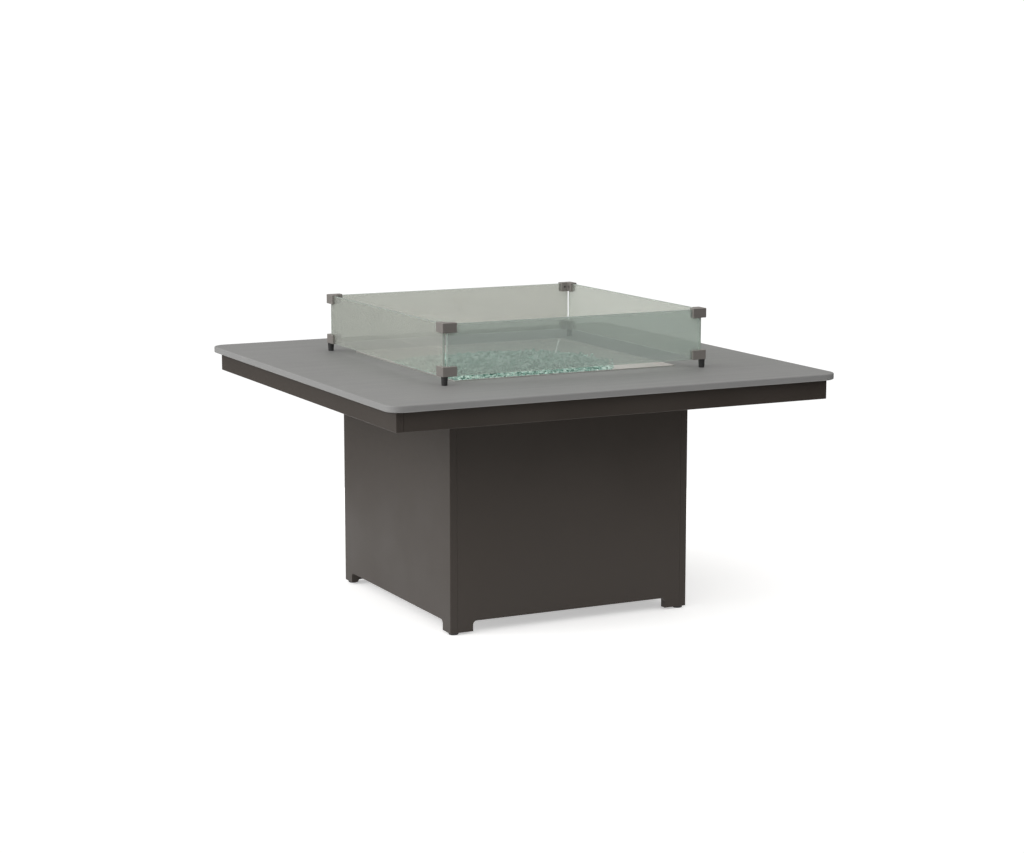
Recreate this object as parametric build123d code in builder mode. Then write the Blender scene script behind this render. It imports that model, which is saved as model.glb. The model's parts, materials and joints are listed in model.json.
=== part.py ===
from build123d import *
import os

# Gas fire table: a square polymer top on a welded frame, a panelled base that hides the
# gas cylinder, a drop-in burner pan with a bed of crushed glass, and a lift-off glass guard.
# Millimetres. +Z is up, the origin is on the floor under the middle of the table.
# -Y is the front with the pull-off access panel, +X is the side with the gas controls.

os.makedirs("parts", exist_ok=True)

CORNERS = {"front_left": (-1, -1), "front_right": (1, -1), "back_right": (1, 1), "back_left": (-1, 1)}
FIT = 0.05  # radial clearance of a shaft in its hole
GAP = 0.4  # air gap round a loose part

# Top
TABLE_HEIGHT = 627.0
TOP_SIZE = 1219.0
TOP_THICK = 16.0
TOP_CORNER = 42.0
TOP_EDGE = 3.0
OPENING = 620.0
OPENING_CORNER = 4.0
OPENING_EDGE = 1.0
SLAB_BOTTOM = TABLE_HEIGHT - TOP_THICK

# Welded frame under the top
APRON_HALF = 585.5
APRON_HEIGHT = 49.5
APRON_WIDTH = 19.0
TUBE_WALL = 2.0
TUBE_ROUND = 1.5
WEEP_R = 3.0
WEEP_PITCH = 500.0
FRAME_BOTTOM = SLAB_BOTTOM - APRON_HEIGHT
APRON_INNER = APRON_HALF - APRON_WIDTH

# Base
BASE_HALF = 334.5
SKIN = 3.0
PAN_DEPTH = 19.0
PAN_FOLD = 2.0
POST = 25.4
POST_HALF_PITCH = BASE_HALF - SKIN - POST / 2
POST_INNER = POST_HALF_PITCH - POST / 2
LEG_BOTTOM = 6.0
PANEL_TOP = FRAME_BOTTOM
ACCESS_TOP = PANEL_TOP - 1.0
CUT_HEIGHT = 26.0
CUT_ROUND = 10.0
SIDE_FOOT = 45.0
FRONT_FOOT = 43.0
SEAM_HALF = BASE_HALF - PAN_DEPTH
PAN_HALF = POST_INNER - 3.0

# Glides
GLIDE_R = 12.5
GLIDE_STUD_R = 4.0
GLIDE_STUD = 30.0
GLIDE_EDGE = 1.2
PLUG_HEIGHT = 25.0

# Shelf for the gas cylinder
SHELF_Z = 40.0
SHEET = 3.0
RAIL_LEG = 22.0
RING_R = 104.0
RING_HEIGHT = 12.0
CYLINDER_X = -10.0

# Burner pan
PAN_EDGE_HALF = 309.0
PAN_SHEET = 1.5
PAN_TOP = TABLE_HEIGHT - 4.0
WELL_R = 150.0
WELL_DEPTH = 40.0
WELL_FLOOR = PAN_TOP - WELL_DEPTH
NIPPLE_R = 9.0
NIPPLE_LENGTH = 14.0
PAN_CORNER = 3.0
LIP_TOP = TABLE_HEIGHT + 2.5
LIP_INNER = PAN_EDGE_HALF - PAN_SHEET
LIP_EDGE = 0.5
DRAIN_PITCH_R = 120.0
DRAIN_R = 4.0

# Burner
BURNER_R = 85.0
BURNER_TUBE_R = 8.0
BURNER_BORE_R = 6.5
BURNER_Z = WELL_FLOOR + 24.0
BAR_R = 6.0
BAR_BORE_R = 4.5
HUB_R = 14.0
JETS = 24
JET_R = 1.2
MIXER_R = 12.5
MIXER_LENGTH = 60.0
MIXER_BORE_R = 7.0
WINDOW_R = 4.5
WINDOW_HEIGHT = 26.0
MIXER_BOTTOM = WELL_FLOOR - PAN_SHEET - MIXER_LENGTH
PIPE_R = 5.0
PIPE_BORE_R = 4.0
PIPE_Z = MIXER_BOTTOM - 12.0
PIPE_BEND = 20.0
ELBOW_R = 10.0
ELBOW_HEIGHT = 22.0
ELBOW_ARM = 20.0
ELBOW_ARM_R = 8.0
ORIFICE_R = 1.5

# Electrode: a rod in a ceramic sleeve that leans out of the glass bed
ROD_FOOT = Vector(107.0, -40.0, 642.0)
ROD_LEAN = Vector(11.0, 0.0, 34.0)
ROD_LENGTH = 35.7
ROD_R = 1.75
CERAMIC_R = 4.0
CERAMIC_ABOVE = -4.0
CERAMIC_BELOW = -50.0
COLLAR_R = 7.0
COLLAR_START = -58.0
COLLAR_LENGTH = 20.0
BRACKET_FOOT = (91.0, -40.0)
BRACKET_LENGTH = 34.0
BRACKET_WIDTH = 14.0
BRACKET_THICK = 6.0
CERAMIC_FIT = 0.01
ROD_TIP = 0.6
BRACKET_ROOM = 28.0

# Crushed glass bed
BED_HALF = 307.0
BED_PEAK = 17.0

# Gas controls on the +X side
CONTROL_Z = 440.0
VALVE_X = 300.0
PLATE_WIDTH = 170.0
PLATE_HEIGHT = 84.0
PLATE_THICK = 2.0
PLATE_CORNER = 6.0
PLATE_EDGE = 0.6
PLATE_Y = 30.0
PLATE_SCREW_END = 5.0
PLATE_SCREW_HEAD = 2.0
IGNITER_Y = 62.0
IGNITER_R = 11.0
IGNITER_BACK = 48.0
IGNITER_BORE = 20.0
IGNITER_FRONT = 6.0
IGNITER_FLANGE_R = 13.5
IGNITER_FLANGE = 3.0
IGNITER_NUT_R = 14.5
IGNITER_NUT_EDGE = 1.5
NUT_THICK = 4.0
VALVE_LENGTH = 46.0
VALVE_WIDTH = 30.0
VALVE_EDGE = 3.0
VALVE_NUT_R = 13.0
OUTLET_R = 7.0
OUTLET_LENGTH = 12.0
INLET_R = 7.9
NECK_R = 8.0
NECK_REACH = 6.0
MELD = 1.0  # how far joined shapes run into each other
STEM_R = 4.0
KNOB_R = 22.0
KNOB_SKIRT_DEPTH = 9.0
KNOB_HUB_R = 16.0
KNOB_GRIP_WIDTH = 11.0
KNOB_GRIP_LENGTH = 38.0
KNOB_HOLLOW_R = 15.0
KNOB_SOCKET = 14.0
KNOB_EDGE = 1.2
KNOB_PUSH = 3.0
WASHER_R = 11.0
BUTTON_R = 9.0
BUTTON_ROOM = 0.1
BUTTON_BACK = 14.0
BUTTON_EDGE = 1.5
BUTTON_PUSH = 5.0
PLATE_FACE = BASE_HALF + PLATE_THICK

# Glass guard
GLASS_OUT = 360.0
GLASS_THICK = 6.35
GLASS_HALF = 352.0
GLASS_BOTTOM = TABLE_HEIGHT + 21.0
GLASS_HEIGHT = 127.0
CLAMP_OUT = 366.4
CLAMP_THICK = 19.0
CLAMP_ARM = 38.0
CLAMP_HEIGHT = 24.0
CLAMP_CAP = 3.0
CLAMP_EDGE = 0.8
CLAMP_ROOM = 0.3
CLAMP_STUD_HOLE = 12.0
FOOT_PITCH = 358.5
FOOT_TOP_R = 8.2
FOOT_BOTTOM_R = 7.2
FOOT_STUD_R = 3.0
SET_SCREW_R = 2.5
SET_SCREW_SUNK = 0.8
FOOT_STUD = 11.0
FOOT_EDGE = 1.0
GLASS_EDGE = 0.7
CLAMP_TOP = GLASS_BOTTOM + GLASS_HEIGHT + CLAMP_CAP

# ---------------------------------------------------------------- top and its fixings

CLIP = 25.0
CLIP_PITCH = 440.0
CLIP_PLACES = [(0, y, SLAB_BOTTOM) for y in (-CLIP_PITCH, 0, CLIP_PITCH)]
SCREW_R = 2.0
SCREW_HEAD_R = 4.5
SCREW_HEAD = 2.5
SCREW_DEPTH = 10.0

with BuildPart() as table_top:
    with BuildSketch(Plane.XY.offset(SLAB_BOTTOM)):
        RectangleRounded(TOP_SIZE, TOP_SIZE, TOP_CORNER)
        RectangleRounded(OPENING, OPENING, OPENING_CORNER, mode=Mode.SUBTRACT)
    extrude(amount=TOP_THICK)
    top_face = table_top.faces().sort_by(Axis.Z)[-1]
    bottom_face = table_top.faces().sort_by(Axis.Z)[0]
    fillet(top_face.outer_wire().edges() + bottom_face.outer_wire().edges(), radius=TOP_EDGE)
    rim = table_top.faces().sort_by(Axis.Z)[-1].inner_wires()[0]
    fillet(rim.edges(), radius=OPENING_EDGE)
    with PolarLocations(APRON_INNER - CLIP / 2, 4):
        with Locations(CLIP_PLACES):
            Cylinder(
                SCREW_R + FIT,
                SCREW_DEPTH + 1,
                align=(Align.CENTER, Align.CENTER, Align.MIN),
                mode=Mode.SUBTRACT,
            )
table_top.part.label = "table_top"
export_step(table_top.part, "parts/table_top.step")

with BuildPart() as top_clips:
    with PolarLocations(APRON_INNER, 4):
        with Locations(CLIP_PLACES):
            Box(CLIP, CLIP, SHEET, align=(Align.MAX, Align.CENTER, Align.MAX))
            Box(SHEET, CLIP, CLIP, align=(Align.MAX, Align.CENTER, Align.MAX))
    with PolarLocations(APRON_INNER - CLIP / 2, 4):
        with Locations(CLIP_PLACES):
            Cylinder(
                SCREW_R + FIT,
                SHEET,
                align=(Align.CENTER, Align.CENTER, Align.MAX),
                mode=Mode.SUBTRACT,
            )
top_clips.part.label = "top_clips"
export_step(top_clips.part, "parts/top_clips.step")

with BuildPart() as top_screws:
    with PolarLocations(APRON_INNER - CLIP / 2, 4):
        with Locations([(x, y, z - SHEET) for x, y, z in CLIP_PLACES]):
            Cylinder(SCREW_R, SCREW_DEPTH + SHEET, align=(Align.CENTER, Align.CENTER, Align.MIN))
            Cylinder(SCREW_HEAD_R, SCREW_HEAD, align=(Align.CENTER, Align.CENTER, Align.MAX))
top_screws.part.label = "top_screws"
export_step(top_screws.part, "parts/top_screws.step")

# ---------------------------------------------------------------- apron and bearers

for side, sign in (("left", -1), ("right", 1)):
    with BuildPart() as apron_side:
        with Locations((sign * (APRON_HALF - APRON_WIDTH / 2), 0, FRAME_BOTTOM + APRON_HEIGHT / 2)):
            Box(APRON_WIDTH, 2 * APRON_HALF, APRON_HEIGHT)
            fillet(apron_side.edges(), radius=TUBE_ROUND)
            Box(
                APRON_WIDTH - 2 * TUBE_WALL,
                2 * (APRON_HALF - TUBE_WALL),
                APRON_HEIGHT - 2 * TUBE_WALL,
                mode=Mode.SUBTRACT,
            )
        with Locations(
            (sign * (APRON_HALF - APRON_WIDTH / 2), -WEEP_PITCH, FRAME_BOTTOM),
            (sign * (APRON_HALF - APRON_WIDTH / 2), WEEP_PITCH, FRAME_BOTTOM),
        ):
            Cylinder(WEEP_R, 3 * TUBE_WALL, mode=Mode.SUBTRACT)
    apron_side.part.label = f"apron_{side}"
    export_step(apron_side.part, f"parts/apron_{side}.step")

for side, sign in (("front", -1), ("back", 1)):
    with BuildPart() as apron_end:
        with Locations((0, sign * (APRON_HALF - APRON_WIDTH / 2), FRAME_BOTTOM + APRON_HEIGHT / 2)):
            Box(2 * APRON_INNER, APRON_WIDTH, APRON_HEIGHT)
            fillet(apron_end.edges().filter_by(Axis.X), radius=TUBE_ROUND)
            Box(
                2 * APRON_INNER,
                APRON_WIDTH - 2 * TUBE_WALL,
                APRON_HEIGHT - 2 * TUBE_WALL,
                mode=Mode.SUBTRACT,
            )
    apron_end.part.label = f"apron_{side}"
    export_step(apron_end.part, f"parts/apron_{side}.step")

for side, sign in (("left", -1), ("right", 1)):
    with BuildPart() as bearer:
        with Locations((sign * POST_HALF_PITCH, 0, FRAME_BOTTOM + APRON_HEIGHT / 2)):
            Box(POST, 2 * APRON_INNER, APRON_HEIGHT)
            fillet(bearer.edges().filter_by(Axis.Y), radius=TUBE_ROUND)
            Box(
                POST - 2 * TUBE_WALL,
                2 * APRON_INNER,
                APRON_HEIGHT - 2 * TUBE_WALL,
                mode=Mode.SUBTRACT,
            )
    bearer.part.label = f"bearer_{side}"
    export_step(bearer.part, f"parts/bearer_{side}.step")

for side, sign in (("front", -1), ("back", 1)):
    with BuildPart() as cross_bearer:
        with Locations((0, sign * POST_HALF_PITCH, FRAME_BOTTOM + APRON_HEIGHT / 2)):
            Box(2 * POST_INNER, POST, APRON_HEIGHT)
            fillet(cross_bearer.edges().filter_by(Axis.X), radius=TUBE_ROUND)
            Box(
                2 * POST_INNER,
                POST - 2 * TUBE_WALL,
                APRON_HEIGHT - 2 * TUBE_WALL,
                mode=Mode.SUBTRACT,
            )
    cross_bearer.part.label = f"cross_bearer_{side}"
    export_step(cross_bearer.part, f"parts/cross_bearer_{side}.step")

OUTRIGGER_START = POST_HALF_PITCH + POST / 2
OUTRIGGER = APRON_INNER - OUTRIGGER_START

with BuildPart() as outriggers:
    for sx, sy in CORNERS.values():
        with BuildSketch(Plane.YZ.offset(sx * OUTRIGGER_START)):
            with Locations((sy * POST_HALF_PITCH, FRAME_BOTTOM + APRON_HEIGHT / 2)):
                RectangleRounded(POST, APRON_HEIGHT, TUBE_ROUND)
                Rectangle(POST - 2 * TUBE_WALL, APRON_HEIGHT - 2 * TUBE_WALL, mode=Mode.SUBTRACT)
        extrude(amount=sx * OUTRIGGER)
outriggers.part.label = "outriggers"
export_step(outriggers.part, "parts/outriggers.step")

# ---------------------------------------------------------------- posts, plugs and glides

PEG_R = 2.5
PEG_ROOM = 0.3
PEG_SEAT = 1.0
PEG_X = (POST_INNER + SEAM_HALF) / 2
PEG_LENGTH = 10.0
PEG_TIP = 0.8
PEG_HEIGHTS = (90.0, 500.0)
POST_LENGTH = FRAME_BOTTOM - LEG_BOTTOM

for corner, (sx, sy) in CORNERS.items():
    with BuildPart() as post:
        with BuildSketch(Plane.XY.offset(LEG_BOTTOM)):
            with Locations((sx * POST_HALF_PITCH, sy * POST_HALF_PITCH)):
                RectangleRounded(POST, POST, TUBE_ROUND)
                Rectangle(POST - 2 * TUBE_WALL, POST - 2 * TUBE_WALL, mode=Mode.SUBTRACT)
        extrude(amount=POST_LENGTH)
        if sy < 0:
            with Locations([(sx * PEG_X, -BASE_HALF + SKIN, height) for height in PEG_HEIGHTS]):
                Cylinder(PEG_R + PEG_ROOM, 3 * TUBE_WALL, rotation=(90, 0, 0), mode=Mode.SUBTRACT)
    post.part.label = f"post_{corner}"
    export_step(post.part, f"parts/post_{corner}.step")

with BuildPart() as post_plugs:
    with BuildSketch(Plane.XY.offset(LEG_BOTTOM)):
        with GridLocations(2 * POST_HALF_PITCH, 2 * POST_HALF_PITCH, 2, 2):
            Rectangle(POST - 2 * TUBE_WALL, POST - 2 * TUBE_WALL)
            Circle(GLIDE_STUD_R + FIT, mode=Mode.SUBTRACT)
    extrude(amount=PLUG_HEIGHT)
post_plugs.part.label = "post_plugs"
export_step(post_plugs.part, "parts/post_plugs.step")

for corner, (sx, sy) in CORNERS.items():
    with BuildPart() as glide:
        with BuildSketch(Plane.XY):
            with Locations((sx * POST_HALF_PITCH, sy * POST_HALF_PITCH)):
                Circle(GLIDE_R)
        extrude(amount=LEG_BOTTOM)
        chamfer(glide.edges().group_by(Axis.Z)[0], length=GLIDE_EDGE)
        with BuildSketch(Plane.XY.offset(LEG_BOTTOM)):
            with Locations((sx * POST_HALF_PITCH, sy * POST_HALF_PITCH)):
                Circle(GLIDE_STUD_R)
        extrude(amount=GLIDE_STUD)
    glide.part.label = f"glide_{corner}"
    export_step(glide.part, f"parts/glide_{corner}.step")

# ---------------------------------------------------------------- base panels

CONTROL_HOLES = ((0.0, NECK_R + FIT), (IGNITER_Y, IGNITER_R + FIT))
PLATE_SCREW_Y = PLATE_WIDTH / 2 - 9.0
PLATE_SCREW_Z = PLATE_HEIGHT / 2 - 9.0
PLATE_SCREWS = [
    (PLATE_Y + sy * PLATE_SCREW_Y, CONTROL_Z + sz * PLATE_SCREW_Z)
    for sy in (-1, 1)
    for sz in (-1, 1)
]

# The side panels are pans whose edges wrap round the posts to the front and the back.
for side, sign in (("left", -1), ("right", 1)):
    with BuildPart() as side_panel:
        with BuildSketch(Plane.YZ.offset(sign * BASE_HALF)) as outline:
            with Locations((0, LEG_BOTTOM)):
                Rectangle(2 * BASE_HALF, PANEL_TOP - LEG_BOTTOM, align=(Align.CENTER, Align.MIN))
                Rectangle(
                    2 * (BASE_HALF - SIDE_FOOT),
                    CUT_HEIGHT,
                    align=(Align.CENTER, Align.MIN),
                    mode=Mode.SUBTRACT,
                )
            fillet(outline.vertices().group_by(Axis.Y)[1], radius=CUT_ROUND)
        extrude(amount=-sign * PAN_DEPTH)
        with BuildSketch(Plane.YZ.offset(sign * (BASE_HALF - SKIN))) as pocket:
            with Locations((0, LEG_BOTTOM)):
                Rectangle(
                    2 * (BASE_HALF - SKIN), PANEL_TOP - LEG_BOTTOM, align=(Align.CENTER, Align.MIN)
                )
                Rectangle(
                    2 * (BASE_HALF - SIDE_FOOT + SKIN),
                    CUT_HEIGHT + SKIN,
                    align=(Align.CENTER, Align.MIN),
                    mode=Mode.SUBTRACT,
                )
            fillet(pocket.vertices().group_by(Axis.Y)[1], radius=CUT_ROUND + SKIN)
        extrude(amount=-sign * PAN_DEPTH, mode=Mode.SUBTRACT)
        upright = side_panel.edges().filter_by(Axis.Z).filter_by(
            lambda edge: abs(abs(edge.center().X) - BASE_HALF) < 0.01
            and abs(abs(edge.center().Y) - BASE_HALF) < 0.01
        )
        fillet(upright, radius=PAN_FOLD)
        if sign > 0:
            for y, radius in CONTROL_HOLES:
                with Locations((BASE_HALF, y, CONTROL_Z)):
                    Cylinder(radius, 4 * SKIN, rotation=(0, 90, 0), mode=Mode.SUBTRACT)
            with Locations([(BASE_HALF, y, z) for y, z in PLATE_SCREWS]):
                Cylinder(SCREW_R + FIT, 4 * SKIN, rotation=(0, 90, 0), mode=Mode.SUBTRACT)
    side_panel.part.label = f"side_panel_{side}"
    export_step(side_panel.part, f"parts/side_panel_{side}.step")

# The front and back panels fill the space between the side panels' edges. Their pans fit
# between the posts and their skins lie on the posts. The front one pulls off.
for name, sign, top in (("access_panel", -1, ACCESS_TOP), ("back_panel", 1, PANEL_TOP)):
    with BuildPart() as end_panel:
        with BuildSketch(Plane.XZ.offset(-sign * BASE_HALF)) as outline:
            with Locations((0, LEG_BOTTOM)):
                Rectangle(2 * (SEAM_HALF - GAP), top - LEG_BOTTOM, align=(Align.CENTER, Align.MIN))
                Rectangle(
                    2 * (SEAM_HALF - FRONT_FOOT),
                    CUT_HEIGHT,
                    align=(Align.CENTER, Align.MIN),
                    mode=Mode.SUBTRACT,
                )
            fillet(outline.vertices().group_by(Axis.Y)[1], radius=CUT_ROUND)
        extrude(amount=sign * SKIN)
        with BuildSketch(Plane.XZ.offset(-sign * (BASE_HALF - SKIN))) as rim:
            with Locations((0, LEG_BOTTOM)):
                Rectangle(2 * PAN_HALF, top - LEG_BOTTOM, align=(Align.CENTER, Align.MIN))
                Rectangle(
                    2 * (SEAM_HALF - FRONT_FOOT),
                    CUT_HEIGHT,
                    align=(Align.CENTER, Align.MIN),
                    mode=Mode.SUBTRACT,
                )
            fillet(rim.vertices().group_by(Axis.Y)[1], radius=CUT_ROUND)
            offset(amount=-SKIN, mode=Mode.SUBTRACT)
        extrude(amount=sign * (PAN_DEPTH - SKIN))
        if sign < 0:
            with Locations(
                [(sx * PEG_X, -BASE_HALF + SKIN, height) for sx in (-1, 1) for height in PEG_HEIGHTS]
            ):
                Cylinder(PEG_R, 2 * PEG_SEAT, rotation=(90, 0, 0), mode=Mode.SUBTRACT)
    end_panel.part.label = name
    export_step(end_panel.part, f"parts/{name}.step")

with BuildPart() as locating_pegs:
    for sx in (-1, 1):
        for height in PEG_HEIGHTS:
            with BuildSketch(Plane.XZ.offset(BASE_HALF - SKIN + PEG_SEAT)):
                with Locations((sx * PEG_X, height)):
                    Circle(PEG_R)
            extrude(amount=-PEG_LENGTH)
    chamfer(locating_pegs.faces().sort_by(Axis.Y)[-4:].edges(), length=PEG_TIP)
locating_pegs.part.label = "locating_pegs"
export_step(locating_pegs.part, "parts/locating_pegs.step")

CATCH_HEIGHTS = (130.0, 460.0)
CATCH_WIDTH = 20.0
CATCH_DEPTH = 14.0
CATCH_LENGTH = 26.0
STRIKE_FACE = BASE_HALF - PAN_DEPTH - PAN_SHEET
STRIKE = PAN_HALF - SKIN
STRIKE_LEG = 12.0
STRIKE_WIDTH = 16.0

with BuildPart() as magnet_catches:
    for sx, side in ((-1, Align.MIN), (1, Align.MAX)):
        with Locations([(sx * POST_INNER, -STRIKE_FACE, z) for z in CATCH_HEIGHTS]):
            Box(CATCH_WIDTH, CATCH_DEPTH, CATCH_LENGTH, align=(side, Align.MIN, Align.CENTER))
magnet_catches.part.label = "magnet_catches"
export_step(magnet_catches.part, "parts/magnet_catches.step")

with BuildPart() as strike_plates:
    for sx, side in ((-1, Align.MIN), (1, Align.MAX)):
        with Locations([(sx * STRIKE, -BASE_HALF + PAN_DEPTH, z) for z in CATCH_HEIGHTS]):
            Box(PAN_SHEET, STRIKE_LEG, CATCH_LENGTH, align=(side, Align.MAX, Align.CENTER))
            Box(STRIKE_WIDTH, PAN_SHEET, CATCH_LENGTH, align=(side, Align.MIN, Align.CENTER))
            Box(PAN_SHEET, PAN_SHEET, CATCH_LENGTH, align=(side, Align.MIN, Align.CENTER))
strike_plates.part.label = "strike_plates"
export_step(strike_plates.part, "parts/strike_plates.step")

# ---------------------------------------------------------------- shelf for the cylinder

SHELF_HALF = POST_INNER - SHEET - 0.5
SHELF_SCREW_X = SHELF_HALF - 8.0
SHELF_SCREW_Y = 220.0
SHELF_SCREWS = [(sx * SHELF_SCREW_X, sy * SHELF_SCREW_Y) for sx in (-1, 1) for sy in (-1, 1)]
RAIL_LENGTH = 2 * (BASE_HALF - PAN_DEPTH) - 2.0

with BuildPart() as shelf_rails:
    for sx, side in ((-1, Align.MIN), (1, Align.MAX)):
        with Locations((sx * POST_INNER, 0, SHELF_Z)):
            Box(RAIL_LEG, RAIL_LENGTH, SHEET, align=(side, Align.CENTER, Align.MAX))
            Box(SHEET, RAIL_LENGTH, RAIL_LEG, align=(side, Align.CENTER, Align.MIN))
    with Locations([(x, y, SHELF_Z) for x, y in SHELF_SCREWS]):
        Cylinder(SCREW_R + FIT, 3 * SHEET, mode=Mode.SUBTRACT)
shelf_rails.part.label = "shelf_rails"
export_step(shelf_rails.part, "parts/shelf_rails.step")

with BuildPart() as base_shelf:
    with BuildSketch(Plane.XY.offset(SHELF_Z)):
        Rectangle(2 * SHELF_HALF, 2 * SHELF_HALF)
        with Locations(SHELF_SCREWS):
            Circle(SCREW_R + FIT, mode=Mode.SUBTRACT)
    extrude(amount=SHEET)
base_shelf.part.label = "base_shelf"
export_step(base_shelf.part, "parts/base_shelf.step")

with BuildPart() as cylinder_ring:
    with BuildSketch(Plane.XY.offset(SHELF_Z + SHEET)):
        with Locations((CYLINDER_X, 0)):
            Circle(RING_R + SHEET)
            Circle(RING_R, mode=Mode.SUBTRACT)
    extrude(amount=RING_HEIGHT)
cylinder_ring.part.label = "cylinder_ring"
export_step(cylinder_ring.part, "parts/cylinder_ring.step")

with BuildPart() as shelf_screws:
    with Locations([(x, y, SHELF_Z + SHEET) for x, y in SHELF_SCREWS]):
        Cylinder(SCREW_R, 3 * SHEET, align=(Align.CENTER, Align.CENTER, Align.MAX))
        Cylinder(SCREW_HEAD_R, SCREW_HEAD, align=(Align.CENTER, Align.CENTER, Align.MIN))
shelf_screws.part.label = "shelf_screws"
export_step(shelf_screws.part, "parts/shelf_screws.step")

# ---------------------------------------------------------------- burner pan and burner

with BuildPart() as burner_pan:
    with BuildSketch(Plane.XY.offset(SLAB_BOTTOM)):
        RectangleRounded(2 * PAN_EDGE_HALF, 2 * PAN_EDGE_HALF, PAN_CORNER)
    extrude(amount=LIP_TOP - SLAB_BOTTOM)
    with BuildSketch(Plane.XY.offset(PAN_TOP)):
        RectangleRounded(2 * LIP_INNER, 2 * LIP_INNER, PAN_CORNER - PAN_SHEET)
    extrude(amount=LIP_TOP - PAN_TOP, mode=Mode.SUBTRACT)
    fillet(burner_pan.faces().sort_by(Axis.Z)[-1].edges(), radius=LIP_EDGE)
    with BuildSketch(Plane.XY.offset(SLAB_BOTTOM)):
        Rectangle(2 * (PAN_EDGE_HALF - PAN_SHEET), 2 * (PAN_EDGE_HALF - PAN_SHEET))
    extrude(amount=PAN_TOP - PAN_SHEET - SLAB_BOTTOM, mode=Mode.SUBTRACT)
    with BuildSketch(Plane.XY.offset(WELL_FLOOR - PAN_SHEET)):
        Circle(WELL_R + PAN_SHEET)
    extrude(amount=WELL_DEPTH)
    with BuildSketch(Plane.XY.offset(WELL_FLOOR)):
        Circle(WELL_R)
    extrude(amount=WELL_DEPTH, mode=Mode.SUBTRACT)
    with BuildSketch(Plane.XY.offset(WELL_FLOOR - PAN_SHEET)):
        Circle(NIPPLE_R + FIT)
        with PolarLocations(DRAIN_PITCH_R, 4, start_angle=45):
            Circle(DRAIN_R)
    extrude(amount=PAN_SHEET, mode=Mode.SUBTRACT)
burner_pan.part.label = "burner_pan"
export_step(burner_pan.part, "parts/burner_pan.step")

with BuildPart() as burner_ring:
    with Locations((0, 0, BURNER_Z)):
        Cylinder(BAR_R, 2 * BURNER_R, rotation=(90, 0, 0))
    with BuildSketch(Plane.XZ):
        with Locations((BURNER_R, BURNER_Z)):
            Circle(BURNER_TUBE_R)
    revolve(axis=Axis.Z)
    with BuildSketch(Plane.XZ):
        with Locations((BURNER_R, BURNER_Z)):
            Circle(BURNER_BORE_R)
    revolve(axis=Axis.Z, mode=Mode.SUBTRACT)
    with Locations((0, 0, BURNER_Z)):
        Cylinder(BAR_BORE_R, 2 * BURNER_R, rotation=(90, 0, 0), mode=Mode.SUBTRACT)
    with BuildSketch(Plane.XY.offset(WELL_FLOOR)):
        Circle(HUB_R)
    extrude(amount=BURNER_Z + BAR_R + 1 - WELL_FLOOR)
    with BuildSketch(Plane.XY.offset(WELL_FLOOR)):
        Circle(NIPPLE_R + FIT)
    extrude(amount=BURNER_Z + BAR_R - 2 - WELL_FLOOR, mode=Mode.SUBTRACT)
    with PolarLocations(BURNER_R, JETS, start_angle=7.5):
        with Locations((0, 0, BURNER_Z + BURNER_TUBE_R)):
            Cylinder(JET_R, 2 * BURNER_TUBE_R - 4, mode=Mode.SUBTRACT)
burner_ring.part.label = "burner_ring"
export_step(burner_ring.part, "parts/burner_ring.step")

with BuildPart() as air_mixer:
    with BuildSketch(Plane.XY.offset(MIXER_BOTTOM)):
        Circle(MIXER_R)
    extrude(amount=MIXER_LENGTH)
    with BuildSketch(Plane.XY.offset(MIXER_BOTTOM + MIXER_LENGTH)):
        Circle(NIPPLE_R)
    extrude(amount=PAN_SHEET + NIPPLE_LENGTH)
    with BuildSketch(Plane.XY.offset(MIXER_BOTTOM)):
        Circle(MIXER_BORE_R)
    extrude(amount=MIXER_LENGTH + PAN_SHEET + NIPPLE_LENGTH, mode=Mode.SUBTRACT)
    with PolarLocations(MIXER_R, 4, start_angle=45):
        with Locations((0, 0, MIXER_BOTTOM + WINDOW_HEIGHT)):
            Cylinder(WINDOW_R, MIXER_R, rotation=(0, 90, 0), mode=Mode.SUBTRACT)
air_mixer.part.label = "air_mixer"
export_step(air_mixer.part, "parts/air_mixer.step")

with BuildPart() as orifice_elbow:
    with BuildSketch(Plane.XY.offset(MIXER_BOTTOM - ELBOW_HEIGHT)):
        Circle(ELBOW_R)
    extrude(amount=ELBOW_HEIGHT)
    with BuildSketch(Plane.YZ):
        with Locations((0, PIPE_Z)):
            Circle(ELBOW_ARM_R)
    extrude(amount=ELBOW_ARM)
    with BuildSketch(Plane.YZ):
        with Locations((0, PIPE_Z)):
            Circle(PIPE_BORE_R)
    extrude(amount=ELBOW_ARM, mode=Mode.SUBTRACT)
    with BuildSketch(Plane.XY.offset(PIPE_Z)):
        Circle(ORIFICE_R)
    extrude(amount=MIXER_BOTTOM - PIPE_Z, mode=Mode.SUBTRACT)
orifice_elbow.part.label = "orifice_elbow"
export_step(orifice_elbow.part, "parts/orifice_elbow.step")

VALVE_TOP = CONTROL_Z + VALVE_WIDTH / 2
OUTLET_TOP = VALVE_TOP + OUTLET_LENGTH

with BuildPart() as gas_pipe:
    with BuildLine() as route:
        FilletPolyline(
            (VALVE_X, 0, OUTLET_TOP), (VALVE_X, 0, PIPE_Z), (ELBOW_ARM, 0, PIPE_Z), radius=PIPE_BEND
        )
    with BuildSketch(Plane.XY.offset(OUTLET_TOP)):
        with Locations((VALVE_X, 0)):
            Circle(PIPE_R)
            Circle(PIPE_BORE_R, mode=Mode.SUBTRACT)
    sweep(path=route.line)
gas_pipe.part.label = "gas_pipe"
export_step(gas_pipe.part, "parts/gas_pipe.step")

# ---------------------------------------------------------------- electrode

ROD_AXIS = Plane(origin=ROD_FOOT, x_dir=(0, 1, 0), z_dir=ROD_LEAN)

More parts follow.
